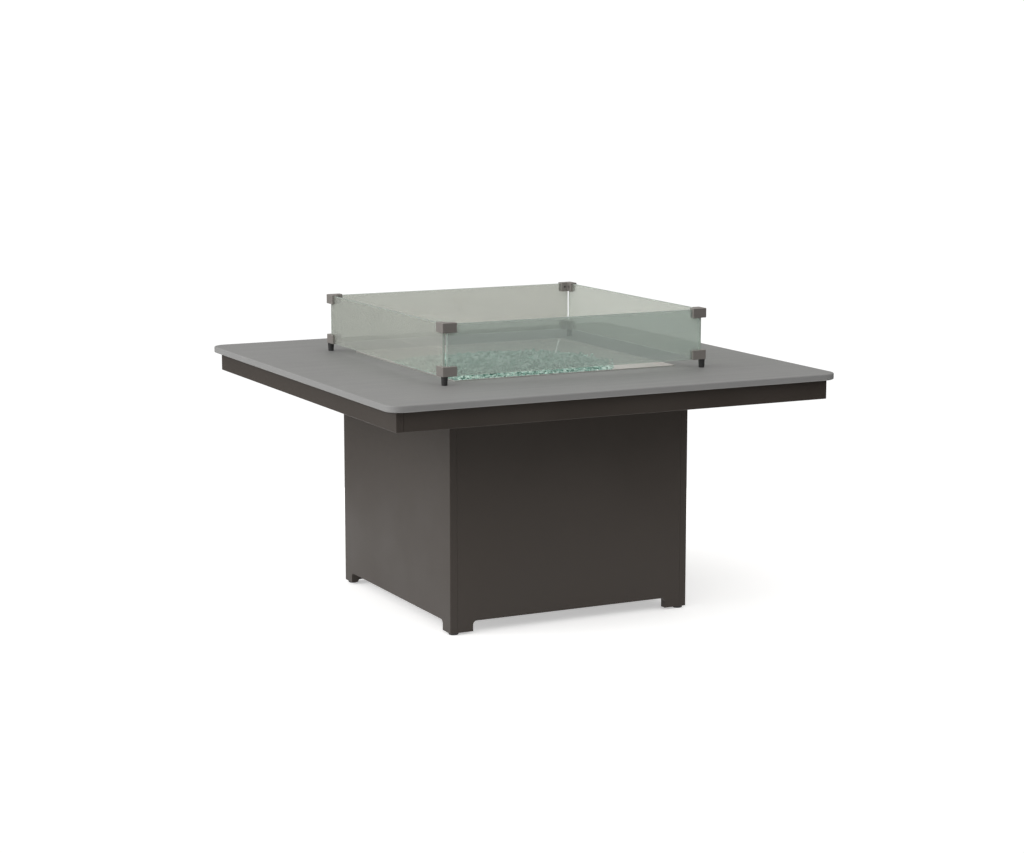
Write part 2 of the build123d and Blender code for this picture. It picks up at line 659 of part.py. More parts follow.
with BuildPart() as electrode_rod:
    with BuildSketch(ROD_AXIS.offset(CERAMIC_BELOW)):
        Circle(ROD_R)
    extrude(amount=ROD_LENGTH - CERAMIC_BELOW)
    fillet(electrode_rod.edges().sort_by(Axis.Z)[-1], radius=ROD_TIP)
electrode_rod.part.label = "electrode_rod"
export_step(electrode_rod.part, "parts/electrode_rod.step")

with BuildPart() as electrode_ceramic:
    with BuildSketch(ROD_AXIS.offset(CERAMIC_BELOW)):
        Circle(CERAMIC_R)
        Circle(ROD_R + CERAMIC_FIT, mode=Mode.SUBTRACT)
    extrude(amount=CERAMIC_ABOVE - CERAMIC_BELOW)
electrode_ceramic.part.label = "electrode_ceramic"
export_step(electrode_ceramic.part, "parts/electrode_ceramic.step")

with BuildPart() as electrode_bracket:
    with BuildSketch(ROD_AXIS.offset(COLLAR_START)):
        Circle(COLLAR_R)
    extrude(amount=COLLAR_LENGTH)
    with BuildSketch(Plane.XY.offset(WELL_FLOOR)):
        with Locations(BRACKET_FOOT):
            SlotOverall(BRACKET_LENGTH, BRACKET_WIDTH)
    extrude(amount=BRACKET_THICK)
    with BuildSketch(ROD_AXIS.offset(COLLAR_START - COLLAR_LENGTH)):
        Circle(CERAMIC_R + CERAMIC_FIT)
    extrude(amount=3 * COLLAR_LENGTH, mode=Mode.SUBTRACT)
electrode_bracket.part.label = "electrode_bracket"
export_step(electrode_bracket.part, "parts/electrode_bracket.step")

# ---------------------------------------------------------------- crushed glass bed

# The bed covers the front left of the pan and fills the well. Its plan outline is repeated
# smaller at the crest, so the bed is a low mound with a flat top.
BED_OUTLINE = [
    (-BED_HALF, -BED_HALF),
    (122.0, -BED_HALF),
    (172.0, -230.0),
    (206.0, -110.0),
    (200.0, 20.0),
    (140.0, 112.0),
    (0.0, 152.0),
    (-150.0, 150.0),
    (-262.0, 128.0),
    (-BED_HALF, 60.0),
]
CREST_SHARE = 0.42
CREST_MIDDLE = (-15.0, -60.0)
CREST_SHIFT_X = CREST_MIDDLE[0] * (1 - CREST_SHARE)
CREST_SHIFT_Y = CREST_MIDDLE[1] * (1 - CREST_SHARE)
CREST_OUTLINE = [(CREST_SHARE * x + CREST_SHIFT_X, CREST_SHARE * y + CREST_SHIFT_Y) for x, y in BED_OUTLINE]
BED_WELL_R = WELL_R - 0.5
BURNER_ROOM_R = BURNER_R + BURNER_TUBE_R + 2.0
BURNER_ROOM_TOP = BURNER_Z + BURNER_TUBE_R + 1.0

with BuildPart() as fire_glass:
    with BuildSketch(Plane.XY.offset(PAN_TOP)):
        with BuildLine():
            Polyline(*BED_OUTLINE, close=True)
        make_face()
    with BuildSketch(Plane.XY.offset(PAN_TOP + BED_PEAK)):
        with BuildLine():
            Polyline(*CREST_OUTLINE, close=True)
        make_face()
    loft(ruled=True)
    with BuildSketch(Plane.XY.offset(WELL_FLOOR)):
        Circle(BED_WELL_R)
    extrude(amount=WELL_DEPTH)
    with BuildSketch(Plane.XY.offset(WELL_FLOOR)):
        Circle(BURNER_ROOM_R)
    extrude(amount=BURNER_ROOM_TOP - WELL_FLOOR, mode=Mode.SUBTRACT)
    with BuildSketch(Plane.XY.offset(WELL_FLOOR)):
        with Locations(BRACKET_FOOT):
            SlotOverall(BRACKET_LENGTH + 3.0, BRACKET_WIDTH + 3.0)
    extrude(amount=BRACKET_ROOM, mode=Mode.SUBTRACT)
    with BuildSketch(ROD_AXIS.offset(COLLAR_START + COLLAR_LENGTH - 5.0)):
        Circle(CERAMIC_R + GAP)
    extrude(amount=3 * COLLAR_LENGTH, mode=Mode.SUBTRACT)
fire_glass.part.label = "fire_glass"
export_step(fire_glass.part, "parts/fire_glass.step")

# ---------------------------------------------------------------- gas controls

with BuildPart() as control_plate:
    with BuildSketch(Plane.YZ.offset(BASE_HALF)):
        with Locations((PLATE_Y, CONTROL_Z)):
            RectangleRounded(PLATE_WIDTH, PLATE_HEIGHT, PLATE_CORNER)
        for y, radius in CONTROL_HOLES:
            with Locations((y, CONTROL_Z)):
                Circle(radius, mode=Mode.SUBTRACT)
        with Locations(PLATE_SCREWS):
            Circle(SCREW_R + FIT, mode=Mode.SUBTRACT)
    extrude(amount=PLATE_THICK)
    fillet(control_plate.faces().sort_by(Axis.X)[-1].outer_wire().edges(), radius=PLATE_EDGE)
control_plate.part.label = "control_plate"
export_step(control_plate.part, "parts/control_plate.step")

with BuildPart() as plate_screws:
    with BuildSketch(Plane.YZ.offset(PLATE_FACE)):
        with Locations(PLATE_SCREWS):
            Circle(SCREW_R)
    extrude(amount=-(PLATE_THICK + SKIN + PLATE_SCREW_END))
    with BuildSketch(Plane.YZ.offset(PLATE_FACE)):
        with Locations(PLATE_SCREWS):
            Circle(SCREW_HEAD_R)
    extrude(amount=PLATE_SCREW_HEAD)
plate_screws.part.label = "plate_screws"
export_step(plate_screws.part, "parts/plate_screws.step")

VALVE_FRONT = BASE_HALF - SKIN - 1.0
NECK_LENGTH = PLATE_FACE + NECK_REACH - VALVE_FRONT
INLET_LENGTH = 18.0
STEM_BACK = VALVE_X - 8.0
STEM_START = STEM_BACK + KNOB_PUSH + 1.0

with BuildPart() as valve_body:
    with Locations((VALVE_FRONT, 0, CONTROL_Z)):
        Box(VALVE_LENGTH, VALVE_WIDTH, VALVE_WIDTH, align=(Align.MAX, Align.CENTER, Align.CENTER))
        fillet(valve_body.edges().filter_by(Axis.X), radius=VALVE_EDGE)
    with BuildSketch(Plane.YZ.offset(VALVE_FRONT)):
        with Locations((0, CONTROL_Z)):
            Circle(NECK_R)
    extrude(amount=NECK_LENGTH)
    with BuildSketch(Plane.XY.offset(VALVE_TOP - MELD)):
        with Locations((VALVE_X, 0)):
            Circle(OUTLET_R)
    extrude(amount=OUTLET_LENGTH + MELD)
    with BuildSketch(Plane.XY.offset(CONTROL_Z - VALVE_WIDTH / 2 + MELD)):
        with Locations((VALVE_X, 0)):
            Circle(INLET_R)
    extrude(amount=-INLET_LENGTH)
    with BuildSketch(Plane.YZ.offset(STEM_BACK)):
        with Locations((0, CONTROL_Z)):
            Circle(STEM_R + FIT)
    extrude(amount=2 * VALVE_LENGTH, mode=Mode.SUBTRACT)
valve_body.part.label = "valve_body"
export_step(valve_body.part, "parts/valve_body.step")

with BuildPart() as valve_nut:
    with BuildSketch(Plane.YZ.offset(PLATE_FACE)):
        with Locations((0, CONTROL_Z)):
            RegularPolygon(VALVE_NUT_R, 6)
            Circle(NECK_R + FIT, mode=Mode.SUBTRACT)
    extrude(amount=NUT_THICK)
valve_nut.part.label = "valve_nut"
export_step(valve_nut.part, "parts/valve_nut.step")

WASHER_X = PLATE_FACE + NECK_REACH + KNOB_PUSH + 0.5
WASHER_THICK = 1.5
KNOB_START = WASHER_X + WASHER_THICK + 0.2
KNOB_SKIRT = PLATE_FACE + KNOB_PUSH + 1.5
KNOB_LENGTH = 26.0

with BuildPart() as thrust_washer:
    with BuildSketch(Plane.YZ.offset(WASHER_X)):
        with Locations((0, CONTROL_Z)):
            Circle(WASHER_R)
            Circle(STEM_R + FIT, mode=Mode.SUBTRACT)
    extrude(amount=WASHER_THICK)
thrust_washer.part.label = "thrust_washer"
export_step(thrust_washer.part, "parts/thrust_washer.step")

with BuildPart() as valve_stem:
    with BuildSketch(Plane.YZ.offset(STEM_START)):
        with Locations((0, CONTROL_Z)):
            Circle(STEM_R)
    extrude(amount=KNOB_START + KNOB_SOCKET - STEM_START)
valve_stem.part.label = "valve_stem"
export_step(valve_stem.part, "parts/valve_stem.step")

with BuildPart() as control_knob:
    with BuildSketch(Plane.YZ.offset(KNOB_SKIRT)):
        with Locations((0, CONTROL_Z)):
            Circle(KNOB_R)
    extrude(amount=KNOB_SKIRT_DEPTH)
    with BuildSketch(Plane.YZ.offset(KNOB_SKIRT)):
        with Locations((0, CONTROL_Z)):
            Circle(KNOB_HUB_R)
            Rectangle(KNOB_GRIP_WIDTH, KNOB_GRIP_LENGTH)
    extrude(amount=KNOB_LENGTH, taper=3)
    with BuildSketch(Plane.YZ.offset(KNOB_SKIRT)):
        with Locations((0, CONTROL_Z)):
            Circle(KNOB_HOLLOW_R)
    extrude(amount=KNOB_START - KNOB_SKIRT, mode=Mode.SUBTRACT)
    with BuildSketch(Plane.YZ.offset(KNOB_START)):
        with Locations((0, CONTROL_Z)):
            Circle(STEM_R)
    extrude(amount=KNOB_SOCKET, mode=Mode.SUBTRACT)
    fillet(control_knob.faces().sort_by(Axis.X)[-1].edges(), radius=KNOB_EDGE)
control_knob.part.label = "control_knob"
export_step(control_knob.part, "parts/control_knob.step")

with BuildPart() as igniter_body:
    with BuildSketch(Plane.YZ.offset(BASE_HALF - IGNITER_BACK)):
        with Locations((IGNITER_Y, CONTROL_Z)):
            Circle(IGNITER_R)
    extrude(amount=IGNITER_BACK + PLATE_THICK + IGNITER_FRONT)
    with BuildSketch(Plane.YZ.offset(BASE_HALF - IGNITER_BORE)):
        with Locations((IGNITER_Y, CONTROL_Z)):
            Circle(BUTTON_R + BUTTON_ROOM)
    extrude(amount=2 * IGNITER_BACK, mode=Mode.SUBTRACT)
    with BuildSketch(Plane.YZ.offset(BASE_HALF - SKIN)):
        with Locations((IGNITER_Y, CONTROL_Z)):
            Circle(IGNITER_FLANGE_R)
            Circle(IGNITER_R, mode=Mode.SUBTRACT)
    extrude(amount=-IGNITER_FLANGE)
igniter_body.part.label = "igniter_body"
export_step(igniter_body.part, "parts/igniter_body.step")

with BuildPart() as igniter_nut:
    with BuildSketch(Plane.YZ.offset(PLATE_FACE)):
        with Locations((IGNITER_Y, CONTROL_Z)):
            Circle(IGNITER_NUT_R)
            Circle(IGNITER_R + FIT, mode=Mode.SUBTRACT)
    extrude(amount=NUT_THICK)
    fillet(igniter_nut.faces().sort_by(Axis.X)[-1].outer_wire().edges(), radius=IGNITER_NUT_EDGE)
igniter_nut.part.label = "igniter_nut"
export_step(igniter_nut.part, "parts/igniter_nut.step")

with BuildPart() as igniter_button:
    with BuildSketch(Plane.YZ.offset(BASE_HALF - BUTTON_BACK)):
        with Locations((IGNITER_Y, CONTROL_Z)):
            Circle(BUTTON_R)
    extrude(amount=BUTTON_BACK + PLATE_THICK + IGNITER_FRONT + BUTTON_PUSH + BUTTON_EDGE)
    fillet(igniter_button.faces().sort_by(Axis.X)[-1].edges(), radius=BUTTON_EDGE)
igniter_button.part.label = "igniter_button"
export_step(igniter_button.part, "parts/igniter_button.step")

# ---------------------------------------------------------------- glass guard

SLOT_END = GLASS_HALF + CLAMP_ROOM
SLOT_WIDTH = GLASS_THICK + 2 * FIT
SLOT_MIDDLE = GLASS_OUT - GLASS_THICK / 2
SCREW_ALONG = CLAMP_OUT - CLAMP_ARM + 11.0
CLAMP_INNER = CLAMP_OUT - CLAMP_THICK
ARM_MIDDLE = CLAMP_OUT - CLAMP_ARM / 2
SCREW_SPAN = GLASS_OUT - GLASS_THICK - CLAMP_INNER
LEVELS = {"lower": GLASS_BOTTOM, "upper": CLAMP_TOP - CLAMP_HEIGHT}

# Four L-shaped clamps in each set, one at each corner. A slot in each arm takes the glass.
for level, floor in LEVELS.items():
    slot_height = CLAMP_HEIGHT if level == "lower" else CLAMP_HEIGHT - CLAMP_CAP
    with BuildPart() as clamps:
        with BuildSketch(Plane.XY.offset(floor)):
            with PolarLocations(0, 4):
                with Locations((ARM_MIDDLE, CLAMP_OUT)):
                    Rectangle(CLAMP_ARM, CLAMP_THICK, align=(Align.CENTER, Align.MAX))
                with Locations((CLAMP_OUT, ARM_MIDDLE)):
                    Rectangle(CLAMP_THICK, CLAMP_ARM, align=(Align.MAX, Align.CENTER))
        extrude(amount=CLAMP_HEIGHT)
        chamfer(clamps.edges(), length=CLAMP_EDGE)
        with BuildSketch(Plane.XY.offset(floor)):
            with PolarLocations(0, 4):
                with Locations((SLOT_END, SLOT_MIDDLE)):
                    Rectangle(CLAMP_ARM, SLOT_WIDTH, align=(Align.MAX, Align.CENTER))
                with Locations((SLOT_MIDDLE, SLOT_END)):
                    Rectangle(SLOT_WIDTH, CLAMP_ARM, align=(Align.CENTER, Align.MAX))
        extrude(amount=slot_height, mode=Mode.SUBTRACT)
        with PolarLocations(0, 4):
            with Locations((SCREW_ALONG, CLAMP_INNER, floor + CLAMP_HEIGHT / 2)):
                Cylinder(SET_SCREW_R + FIT, 2 * SCREW_SPAN, rotation=(90, 0, 0), mode=Mode.SUBTRACT)
            with Locations((CLAMP_INNER, SCREW_ALONG, floor + CLAMP_HEIGHT / 2)):
                Cylinder(SET_SCREW_R + FIT, 2 * SCREW_SPAN, rotation=(0, 90, 0), mode=Mode.SUBTRACT)
        if level == "lower":
            with BuildSketch(Plane.XY.offset(floor)):
                with GridLocations(2 * FOOT_PITCH, 2 * FOOT_PITCH, 2, 2):
                    Circle(FOOT_STUD_R + FIT)
            extrude(amount=CLAMP_STUD_HOLE, mode=Mode.SUBTRACT)
    clamps.part.label = f"{level}_clamps"
    export_step(clamps.part, f"parts/{level}_clamps.step")

with BuildPart() as set_screws:
    for floor in LEVELS.values():
        with PolarLocations(0, 4):
            with Locations((SCREW_ALONG, CLAMP_INNER + SET_SCREW_SUNK, floor + CLAMP_HEIGHT / 2)):
                Cylinder(
                    SET_SCREW_R,
                    SCREW_SPAN - SET_SCREW_SUNK,
                    rotation=(-90, 0, 0),
                    align=(Align.CENTER, Align.CENTER, Align.MIN),
                )
            with Locations((CLAMP_INNER + SET_SCREW_SUNK, SCREW_ALONG, floor + CLAMP_HEIGHT / 2)):
                Cylinder(
                    SET_SCREW_R,
                    SCREW_SPAN - SET_SCREW_SUNK,
                    rotation=(0, 90, 0),
                    align=(Align.CENTER, Align.CENTER, Align.MIN),
                )
set_screws.part.label = "set_screws"
export_step(set_screws.part, "parts/set_screws.step")

with BuildPart() as guard_feet:
    with Locations([(sx * FOOT_PITCH, sy * FOOT_PITCH, TABLE_HEIGHT) for sx, sy in CORNERS.values()]):
        Cone(
            FOOT_BOTTOM_R,
            FOOT_TOP_R,
            GLASS_BOTTOM - TABLE_HEIGHT,
            align=(Align.CENTER, Align.CENTER, Align.MIN),
        )
    fillet(guard_feet.edges().group_by(Axis.Z)[0], radius=FOOT_EDGE)
    with BuildSketch(Plane.XY.offset(GLASS_BOTTOM)):
        with GridLocations(2 * FOOT_PITCH, 2 * FOOT_PITCH, 2, 2):
            Circle(FOOT_STUD_R)
    extrude(amount=FOOT_STUD)
guard_feet.part.label = "guard_feet"
export_step(guard_feet.part, "parts/guard_feet.step")

PANES = {"front": (0, -1), "back": (0, 1), "left": (-1, 0), "right": (1, 0)}

for side, (sx, sy) in PANES.items():
    with BuildPart() as pane:
        with Locations((sx * SLOT_MIDDLE, sy * SLOT_MIDDLE, GLASS_BOTTOM)):
            Box(
                GLASS_THICK if sx else 2 * GLASS_HALF,
                GLASS_THICK if sy else 2 * GLASS_HALF,
                GLASS_HEIGHT,
                align=(Align.CENTER, Align.CENTER, Align.MIN),
            )
        chamfer(pane.edges(), length=GLASS_EDGE)
    pane.part.label = f"glass_{side}"
    export_step(pane.part, f"parts/glass_{side}.step")
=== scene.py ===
"""Gas fire table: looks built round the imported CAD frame. Metres, +Z up, floor at z = 0."""

import json
import math
import random

import bmesh
import bpy
from mathutils import Matrix, Vector
from mathutils.bvhtree import BVHTree


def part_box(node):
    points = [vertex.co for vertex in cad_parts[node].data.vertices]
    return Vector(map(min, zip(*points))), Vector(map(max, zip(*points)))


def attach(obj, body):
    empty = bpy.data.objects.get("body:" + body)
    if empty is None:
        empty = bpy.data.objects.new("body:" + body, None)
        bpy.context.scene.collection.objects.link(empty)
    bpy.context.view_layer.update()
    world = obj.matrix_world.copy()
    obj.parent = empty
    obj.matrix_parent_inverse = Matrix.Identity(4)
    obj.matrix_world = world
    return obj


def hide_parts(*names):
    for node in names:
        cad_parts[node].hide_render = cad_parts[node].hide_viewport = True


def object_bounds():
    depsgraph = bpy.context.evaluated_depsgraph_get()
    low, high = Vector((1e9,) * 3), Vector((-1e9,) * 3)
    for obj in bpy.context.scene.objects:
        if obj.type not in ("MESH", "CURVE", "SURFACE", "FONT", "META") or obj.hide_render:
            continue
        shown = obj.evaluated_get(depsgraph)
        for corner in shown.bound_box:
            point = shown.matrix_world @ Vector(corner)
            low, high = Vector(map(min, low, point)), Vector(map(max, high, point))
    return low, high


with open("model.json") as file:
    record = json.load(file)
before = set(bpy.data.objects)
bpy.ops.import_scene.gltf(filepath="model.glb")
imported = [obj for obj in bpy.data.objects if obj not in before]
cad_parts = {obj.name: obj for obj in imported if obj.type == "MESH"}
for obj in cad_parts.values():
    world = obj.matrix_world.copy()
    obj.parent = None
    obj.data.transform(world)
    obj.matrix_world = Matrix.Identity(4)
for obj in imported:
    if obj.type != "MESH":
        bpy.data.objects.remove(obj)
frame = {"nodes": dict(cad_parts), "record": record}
cad_low, cad_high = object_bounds()
scene = bpy.context.scene
NODES = frame["nodes"]
MM = 0.001
DOWN = Vector((0, 0, -1))

# ------------------------------------------------------------------ node helpers


def map_range(tree, value, from_low, from_high, to_low, to_high):
    """Spreads a value between two limits over two others. Outside the limits it stays at the ends."""
    made = tree.nodes.new("ShaderNodeMapRange")
    tree.links.new(value, made.inputs["Value"])
    made.inputs["From Min"].default_value = from_low
    made.inputs["From Max"].default_value = from_high
    made.inputs["To Min"].default_value = to_low
    made.inputs["To Max"].default_value = to_high
    return made.outputs["Result"]


def combine(tree, operation, first, second):
    """One number from two, by a math node."""
    made = tree.nodes.new("ShaderNodeMath")
    made.operation = operation
    tree.links.new(first, made.inputs[0])
    tree.links.new(second, made.inputs[1])
    return made.outputs["Value"]


def mix_shaders(tree, share, first, second):
    """The first shader where the share is 0, the second where it is 1."""
    made = tree.nodes.new("ShaderNodeMixShader")
    tree.links.new(share, made.inputs["Fac"])
    tree.links.new(first, made.inputs[1])
    tree.links.new(second, made.inputs[2])
    return made.outputs["Shader"]


# ------------------------------------------------------------------ camera, light and world

CAMERA_PLACE = (-2.731, -5.471, 1.453)
CAMERA_YAW = 26.54
CAMERA_PITCH = 9.33
CAMERA_LENS = 83.45
CAMERA_SENSOR = 36
CAMERA_REACH = 100

KEY_PLACE = (-4.4, 0.4, 1.9)
KEY_SIZE = 2.4
KEY_POWER = 105
FILL_PLACE = (0.8, -3.8, 3.4)
FILL_SIZE = 2.5
FILL_POWER = 36

BACKDROP_COLOUR = (1, 1, 1, 1)
BACKDROP_STRENGTH = 1.05
SKY_COLOUR = (1.0, 0.99, 0.97, 1)
# The sky grows brighter between two heights of a direction, 0 being the horizon and 1 straight up.
SKY_FROM = 0.02
SKY_TO = 0.55
SKY_LOW = 0.02
SKY_HIGH = 0.8
# The glow on the left fades out between two x values of a direction.
GLOW_FROM = -0.8
GLOW_TO = 0.0
LEFT_GLOW = 0.6


def make_camera():
    """The camera at the photograph's viewing angle, with a long lens and no shift."""
    data = bpy.data.cameras.new("camera")
    data.sensor_width = CAMERA_SENSOR
    data.lens = CAMERA_LENS
    data.clip_end = CAMERA_REACH
    camera = bpy.data.objects.new("camera", data)
    camera.location = CAMERA_PLACE
    camera.rotation_euler = (math.radians(90 - CAMERA_PITCH), 0, math.radians(-CAMERA_YAW))
    scene.collection.objects.link(camera)
    scene.camera = camera


def area_light(name, place, size, power):
    """A soft square light that points at the middle of the object."""
    data = bpy.data.lights.new(name, "AREA")
    data.size = size
    data.energy = power
    light = bpy.data.objects.new(name, data)
    light.location = place
    aim = (cad_low + cad_high) / 2 - Vector(place)
    light.rotation_mode = "QUATERNION"
    light.rotation_quaternion = aim.to_track_quat("-Z", "Y")
    scene.collection.objects.link(light)


def make_world():
    """White behind the object, also through its glass; a softer sky for all that the world lights."""
    world = bpy.data.worlds.new("studio")
    world.use_nodes = True
    tree = world.node_tree
    tree.nodes.clear()
    direction = tree.nodes.new("ShaderNodeTexCoord")
    split = tree.nodes.new("ShaderNodeSeparateXYZ")
    tree.links.new(direction.outputs["Generated"], split.inputs["Vector"])
    height = map_range(tree, split.outputs["Z"], SKY_FROM, SKY_TO, SKY_LOW, SKY_HIGH)
    glow = map_range(tree, split.outputs["X"], GLOW_FROM, GLOW_TO, LEFT_GLOW, 0.0)
    sky = tree.nodes.new("ShaderNodeBackground")
    sky.inputs["Color"].default_value = SKY_COLOUR
    tree.links.new(combine(tree, "ADD", height, glow), sky.inputs["Strength"])
    backdrop = tree.nodes.new("ShaderNodeBackground")
    backdrop.inputs["Color"].default_value = BACKDROP_COLOUR
    backdrop.inputs["Strength"].default_value = BACKDROP_STRENGTH
    path = tree.nodes.new("ShaderNodeLightPath")
    seen = combine(tree, "MAXIMUM", path.outputs["Is Camera Ray"], path.outputs["Is Transmission Ray"])
    mixed = mix_shaders(tree, seen, sky.outputs["Background"], backdrop.outputs["Background"])
    out = tree.nodes.new("ShaderNodeOutputWorld")
    tree.links.new(mixed, out.inputs["Surface"])
    scene.world = world


# ------------------------------------------------------------------ material helpers


class Look:
    """A material with one Principled shader, and short ways to add procedural detail to it."""

    def __init__(self, name, colour, roughness, metallic=0.0):
        self.material = bpy.data.materials.new(name)
        self.material.use_nodes = True
        self.tree = self.material.node_tree
        self.shader = self.tree.nodes["Principled BSDF"]
        self.colour = (*colour, 1)
        self.give("Base Color", self.colour)
        self.give("Roughness", roughness)
        self.give("Metallic", metallic)
        self.place = self.tree.nodes.new("ShaderNodeTexCoord").outputs["Object"]

    def set(self, socket, value):
        """Links a socket to another, or gives it a constant."""
        if isinstance(value, bpy.types.NodeSocket):
            self.tree.links.new(value, socket)
        else:
            socket.default_value = value

    def give(self, name, value):
        """Sets one input of the Principled shader."""
        self.set(self.shader.inputs[name], value)

    def node(self, kind, **inputs):
        made = self.tree.nodes.new(kind)
        for name, value in inputs.items():
            self.set(made.inputs[name], value)
        return made

    def stretched(self, scale):
        """Object coordinates scaled along each axis, for grain and brushing."""
        mapping = self.node("ShaderNodeMapping", Vector=self.place, Scale=scale)
        return mapping.outputs["Vector"]

    def noise(self, scale, detail=3.0, roughness=0.5, place=None):
        made = self.node("ShaderNodeTexNoise", Scale=scale, Detail=detail, Roughness=roughness)
        self.set(made.inputs["Vector"], place or self.place)
        return made.outputs["Fac"]

    def span(self, value, low, high, from_low=0.3, from_high=0.7):
        """Spreads a noise, which lies mostly between 0.3 and 0.7, over low to high."""
        return map_range(self.tree, value, from_low, from_high, low, high)

    def mix(self, share, first, second):
        made = self.tree.nodes.new("ShaderNodeMix")
        made.data_type = "RGBA"
        self.set(made.inputs["Factor"], share)
        self.set(made.inputs["A"], first)
        self.set(made.inputs["B"], second)
        return made.outputs["Result"]

    def shade(self, share, darkest, lightest):
        """Varies the base colour between two multiples of itself."""
        dark = (*[c * darkest for c in self.colour[:3]], 1)
        light = (*[min(1, c * lightest) for c in self.colour[:3]], 1)
        self.give("Base Color", self.mix(share, dark, light))

    def bump(self, height, strength, distance):
        """Adds a bump on top of any bump that is there already."""
        made = self.node("ShaderNodeBump", Height=height, Strength=strength, Distance=distance)
        chained = self.shader.inputs["Normal"].links
        if chained:
            self.set(made.inputs["Normal"], chained[0].from_socket)
        self.give("Normal", made.outputs["Normal"])


def cover(look, *names):
    """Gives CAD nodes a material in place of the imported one."""
    for name in names:
        mesh = NODES[name].data
        mesh.materials.clear()
        mesh.materials.append(look.material)


# ------------------------------------------------------------------ materials

POLYMER_GREY = (0.215, 0.215, 0.214)
COAT_BRONZE = (0.036, 0.029, 0.024)
STAINLESS_COLOUR = (0.6, 0.575, 0.565)
GUNMETAL_COLOUR = (0.275, 0.255, 0.24)
PLATED_COLOUR = (0.42, 0.42, 0.42)
BRASS_COLOUR = (0.62, 0.46, 0.20)
ALUMINIUM_COLOUR = (0.6, 0.6, 0.6)
ELECTRODE_COLOUR = (0.9, 0.9, 0.9)
BLACK_OXIDE = (0.06, 0.06, 0.06)
CERAMIC_WHITE = (0.8, 0.79, 0.75)
PAINT_WHITE = (0.8, 0.8, 0.78)
FLOOR_WHITE = (0.86, 0.86, 0.86)
# One glass, tinted pane by pane with painted light and shade: the front pane the greenest, the left pane
# the darkest.
PANE_SHADED_TINTS = {
    "front": (0.58, 0.635, 0.605),
    "back": (0.545, 0.555, 0.51),
    "left": (0.495, 0.51, 0.475),
    "right": (0.545, 0.562, 0.522),
}
PANE_EDGE_COLOUR = (0.46, 0.52, 0.48)
PANE_SHADOW = (0.8, 0.84, 0.8)
EDGE_SHADOW = (0.8, 0.88, 0.84)
GLASS_IOR = 1.5
SHARD_COLOUR = (0.36, 0.60, 0.52)
# The pale end of the chip colours, nearly white, is the glass's own colour and painted glint together.
SHARD_PALE_GLINT = (0.82, 0.98, 0.92, 1)
SHARD_DEEP = (0.22, 0.41, 0.355, 1)
CORE_COLOUR = (0.20, 0.40, 0.34)

# Scales of stretched noise: the small one gives the direction of the lines.
FLOW_ALONG_X = (2.0, 60.0, 60.0)
DRAWN_ALONG_X = (5.0, 300.0, 300.0)
BRUSHED_ALONG_Y = (900.0, 6.0, 900.0)
BRUSHED_LEVEL = (14.0, 14.0, 1500.0)


def polymer():
    """Grey lumber polymer: matte, faintly mottled, with a fine pebble and a few long flow lines."""
    look = Look("grey_polymer", POLYMER_GREY, roughness=0.56)
    mottle = look.noise(scale=9.0, detail=4.0)
    fleck = look.noise(scale=900.0, detail=2.0)
    look.shade(look.mix(0.35, mottle, fleck), darkest=0.9, lightest=1.1)
    flow = look.noise(scale=1.0, place=look.stretched(FLOW_ALONG_X))
    look.give("Roughness", look.span(flow, low=0.54, high=0.6))
    look.bump(fleck, strength=0.18, distance=0.4 * MM)
    look.bump(flow, strength=0.06, distance=1.0 * MM)
    return look


def powder_coat():
    """Dark bronze powder coat: satin, with a fine orange peel."""
    look = Look("bronze_powder_coat", COAT_BRONZE, roughness=0.48)
    look.give("Specular IOR Level", 0.3)
    peel = look.noise(scale=1400.0, detail=2.0)
    drift = look.noise(scale=5.0)
    look.shade(look.mix(0.3, drift, peel), darkest=0.88, lightest=1.14)
    look.give("Roughness", look.span(drift, low=0.44, high=0.54))
    look.bump(peel, strength=0.22, distance=0.3 * MM)
    return look


def brushed(name, colour, roughness, scale, metallic=1.0):
    """Metal with fine straight brushing along the axis whose scale is small."""
    look = Look(name, colour, roughness, metallic)
    lines = look.noise(scale=1.0, detail=4.0, roughness=0.7, place=look.stretched(scale))
    cloud = look.noise(scale=14.0)
    look.shade(look.mix(0.5, lines, cloud), darkest=0.86, lightest=1.12)
    look.give("Roughness", look.span(lines, low=roughness - 0.07, high=roughness + 0.09))
    look.bump(lines, strength=0.12, distance=0.1 * MM)
    return look


def matte_black(name, value, roughness, grain):
    """Rubber or plastic of one dark value, with a fine grain."""
    look = Look(name, (value, value, value), roughness)
    speck = look.noise(grain)
    look.shade(speck, darkest=0.8, lightest=1.25)
    look.bump(speck, strength=0.2, distance=0.2 * MM)
    return look


def cast_metal(name, colour, roughness):
    """Metal with uneven spots and no direction."""
    look = Look(name, colour, roughness, metallic=1.0)
    spots = look.noise(scale=160.0, detail=4.0)
    look.shade(spots, darkest=0.85, lightest=1.1)
    look.give("Roughness", look.span(spots, low=roughness - 0.06, high=roughness + 0.1))
    look.bump(spots, strength=0.08, distance=0.2 * MM)
    return look


def clouded(name, colour, roughness, scale, darkest, lightest):
    """A plain surface that varies a little in tone."""
    look = Look(name, colour, roughness)
    look.shade(look.noise(scale), darkest, lightest)
    return look


def let_lamps_through(look, tint):
    """Shadow rays pass the glass straight, so what stands behind it is lit."""
    clear = look.node("ShaderNodeBsdfTransparent", Color=(*tint, 1)).outputs["BSDF"]
    shadow = look.node("ShaderNodeLightPath").outputs["Is Shadow Ray"]
    mixed = mix_shaders(look.tree, shadow, look.shader.outputs["BSDF"], clear)
    look.tree.links.new(mixed, look.tree.nodes["Material Output"].inputs["Surface"])


def pane_glass(side, tint):
    """Clear glass, a little cloudy, with a tint per pane that holds painted light and shade."""
    look = Look(f"guard_glass_{side}", tint, roughness=0.0)
    look.give("Transmission Weight", 0.7)
    look.give("IOR", GLASS_IOR)
    look.shade(look.noise(scale=4.0), darkest=0.96, lightest=1.04)
    let_lamps_through(look, PANE_SHADOW)
    return look


